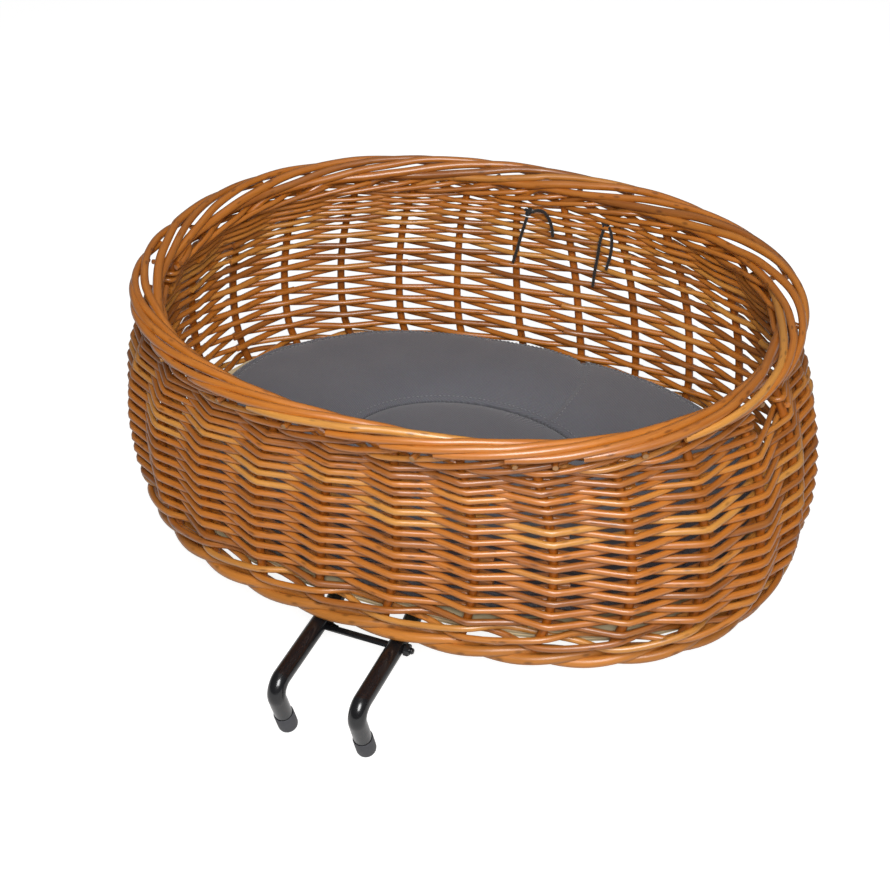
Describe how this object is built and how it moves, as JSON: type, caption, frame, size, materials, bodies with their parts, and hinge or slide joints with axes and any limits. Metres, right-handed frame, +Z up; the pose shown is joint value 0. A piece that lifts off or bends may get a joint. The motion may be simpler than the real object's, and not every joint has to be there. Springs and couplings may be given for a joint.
{
  "type": "bicycle pet basket",
  "caption": "Oval woven willow basket for a small pet, with a bulging wall, hand-holds, a lift-out padded cushion and a steel hook bracket that hangs over a bicycle handlebar.",
  "frame": {"origin": "handlebar seat: midway between the two hook bars and midway between the cross rod and the hooks, on the underside of the bars", "axes": "+X along the basket's long side, to the right seen from the hooks; +Y from the hooks towards the basket; +Z up"},
  "size_m": [0.6046, 0.5075, 0.2894],
  "materials": {
    "willow": "lacquered willow rods",
    "stake_willow": "lacquered dark willow",
    "foot_willow": "lacquered red-brown willow",
    "plywood": "plain plywood",
    "cotton": "grey woven cotton",
    "black_enamel": "gloss black enamel on steel",
    "grey_plastic": "satin dark grey",
    "zinc": "zinc plated",
    "cord": "dark brown braided cord"
  },
  "bodies": {
    "basket": {"base_board": "plywood", "stake_01": "stake_willow", "stake_02": "stake_willow", "stake_03": "stake_willow", "stake_04": "stake_willow", "stake_05": "stake_willow", "stake_06": "stake_willow", "stake_07": "stake_willow", "stake_08": "stake_willow", "stake_09": "stake_willow", "stake_10": "stake_willow", "stake_11": "stake_willow", "stake_12": "stake_willow", "stake_13": "stake_willow", "stake_14": "stake_willow", "stake_15": "stake_willow", "stake_16": "stake_willow", "stake_17": "stake_willow", "stake_18": "stake_willow", "stake_19": "stake_willow", "stake_20": "stake_willow", "stake_21": "stake_willow", "stake_22": "stake_willow", "stake_23": "stake_willow", "stake_24": "stake_willow", "stake_25": "stake_willow", "stake_26": "stake_willow", "stake_27": "stake_willow", "stake_28": "stake_willow", "foot_border": "foot_willow", "foot_wale": "willow", "wall_weave": "willow", "top_wale_front": "willow", "top_wale_back": "willow", "top_border": "willow", "hook_bar_left": "black_enamel", "hook_bar_right": "black_enamel", "end_cap_left": "grey_plastic", "end_cap_right": "grey_plastic", "cross_rod": "black_enamel", "clamp_plate_front": "black_enamel", "clamp_plate_back": "black_enamel", "clamp_bolt_front_left": "zinc", "clamp_bolt_front_right": "zinc", "clamp_bolt_back_left": "zinc", "clamp_bolt_back_right": "zinc", "clamp_nut_front_left": "zinc", "clamp_nut_front_right": "zinc", "clamp_nut_back_left": "zinc", "clamp_nut_back_right": "zinc", "tie_knot_left": "cord", "tie_knot_right": "cord", "tie_tail_left_hanging": "cord", "tie_tail_left_arched": "cord", "tie_tail_right_hanging": "cord", "tie_tail_right_arched": "cord"},
    "cushion": {"cushion_ring": "cotton", "cushion_pad": "cotton"},
    "lock_nut": {"lock_nut": "black_enamel"}
  },
  "joints": [
    {"name": "cushion_lift", "type": "slide", "parent": "basket", "child": "cushion", "axis": [0, 0, 1], "range_m": [0, 0.24]},
    {"name": "lock_nut_turn", "type": "hinge", "parent": "basket", "child": "lock_nut", "pos_m": [0.0443, 0.0365, 0.007], "axis": [1, 0, 0], "continuous": true}
  ]
}
